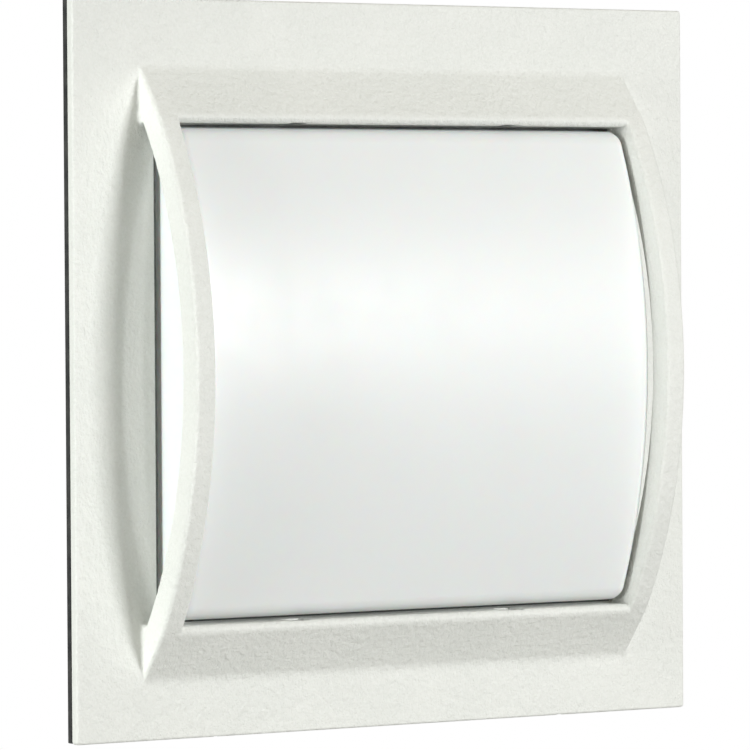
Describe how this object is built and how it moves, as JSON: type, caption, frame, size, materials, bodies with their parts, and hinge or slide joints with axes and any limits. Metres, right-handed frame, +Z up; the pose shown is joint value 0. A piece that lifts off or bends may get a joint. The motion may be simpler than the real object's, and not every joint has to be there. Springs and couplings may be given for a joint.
{
  "type": "outdoor wall light",
  "caption": "Flush square wall light: a white cast trim plate with an arched frame over a D-shaped opal glass, on a steel tray with lamps and gear.",
  "frame": {"origin": "middle of the mounting tray's back face, on the wall and level with the middle of the glass", "axes": "+Z up, -Y out of the wall towards the viewer, +X to the viewer's right"},
  "size_m": [0.3, 0.0525, 0.3],
  "materials": {
    "powder_coat": "white powder coat with a fine sand texture on cast aluminium",
    "opal_glass": "opal glass, satin outside",
    "silicone": "grey silicone strip",
    "foam": "closed-cell foam",
    "zinc_steel": "zinc-plated sheet steel",
    "zinc_screw": "zinc-plated steel",
    "stainless": "spring stainless steel",
    "black_steel": "blackened steel",
    "white_enamel": "gloss white enamel",
    "nylon": "moulded white nylon",
    "lamp_cap": "moulded white plastic",
    "lamp_glass": "white phosphor-coated glass tube",
    "brass": "bright brass",
    "lamination": "varnished iron laminations",
    "winding": "varnish-taped winding",
    "rubber": "black rubber",
    "wire_brown": "insulated wire",
    "wire_black": "insulated wire",
    "wire_white": "insulated wire",
    "wire_blue": "insulated wire",
    "wire_green": "insulated wire"
  },
  "bodies": {
    "base": {"base_tray": "zinc_steel", "cable_grommet": "rubber", "reflector_upper": "white_enamel", "reflector_lower": "white_enamel", "reflector_screw_upper_left": "zinc_screw", "reflector_screw_upper_right": "zinc_screw", "reflector_screw_lower_left": "zinc_screw", "reflector_screw_lower_right": "zinc_screw", "lampholder_upper": "nylon", "lampholder_lower": "nylon", "holder_contact_upper_outer": "brass", "holder_contact_upper_inner": "brass", "holder_contact_lower_outer": "brass", "holder_contact_lower_inner": "brass", "choke_base": "zinc_steel", "choke_core": "lamination", "choke_bobbin": "winding", "choke_terminals": "nylon", "choke_screw_left": "zinc_screw", "choke_screw_right": "zinc_screw", "terminal_block": "nylon", "terminal_screw_live": "zinc_screw", "terminal_screw_neutral": "zinc_screw", "terminal_screw_earth": "zinc_screw", "terminal_fixing_screw": "zinc_screw", "earth_screw": "brass", "earth_lug": "brass", "wire_live": "wire_brown", "wire_choke": "wire_black", "wire_link": "wire_white", "wire_neutral": "wire_blue", "wire_earth": "wire_green"},
    "front_cover": {"front_frame": "powder_coat", "glass_diffuser": "opal_glass", "glass_gasket": "silicone", "wall_gasket": "foam", "glass_clip_top_left": "stainless", "clip_screw_top_left": "stainless", "glass_clip_top_right": "stainless", "clip_screw_top_right": "stainless", "glass_clip_bottom_left": "stainless", "clip_screw_bottom_left": "stainless", "glass_clip_bottom_right": "stainless", "clip_screw_bottom_right": "stainless"},
    "lock_screw_left": {"lock_screw_left": "black_steel"},
    "lock_screw_right": {"lock_screw_right": "black_steel"},
    "lamp_upper": {"lamp_upper_base": "lamp_cap", "lamp_upper_tubes": "lamp_glass", "lamp_upper_pin_outer": "brass", "lamp_upper_pin_inner": "brass"},
    "lamp_lower": {"lamp_lower_base": "lamp_cap", "lamp_lower_tubes": "lamp_glass", "lamp_lower_pin_outer": "brass", "lamp_lower_pin_inner": "brass"}
  },
  "joints": [
    {"name": "front_pull", "type": "slide", "parent": "base", "child": "front_cover", "axis": [0, -1, 0], "range_m": [0, 0.12]},
    {"name": "lock_screw_left_travel", "type": "slide", "parent": "front_cover", "child": "lock_screw_left", "axis": [0, 0, -1], "range_m": [0, 0.004]},
    {"name": "lock_screw_right_travel", "type": "slide", "parent": "front_cover", "child": "lock_screw_right", "axis": [0, 0, -1], "range_m": [0, 0.004]},
    {"name": "lamp_upper_pull", "type": "slide", "parent": "base", "child": "lamp_upper", "axis": [1, 0, 0], "range_m": [0, 0.024]},
    {"name": "lamp_lower_pull", "type": "slide", "parent": "base", "child": "lamp_lower", "axis": [1, 0, 0], "range_m": [0, 0.024]}
  ]
}
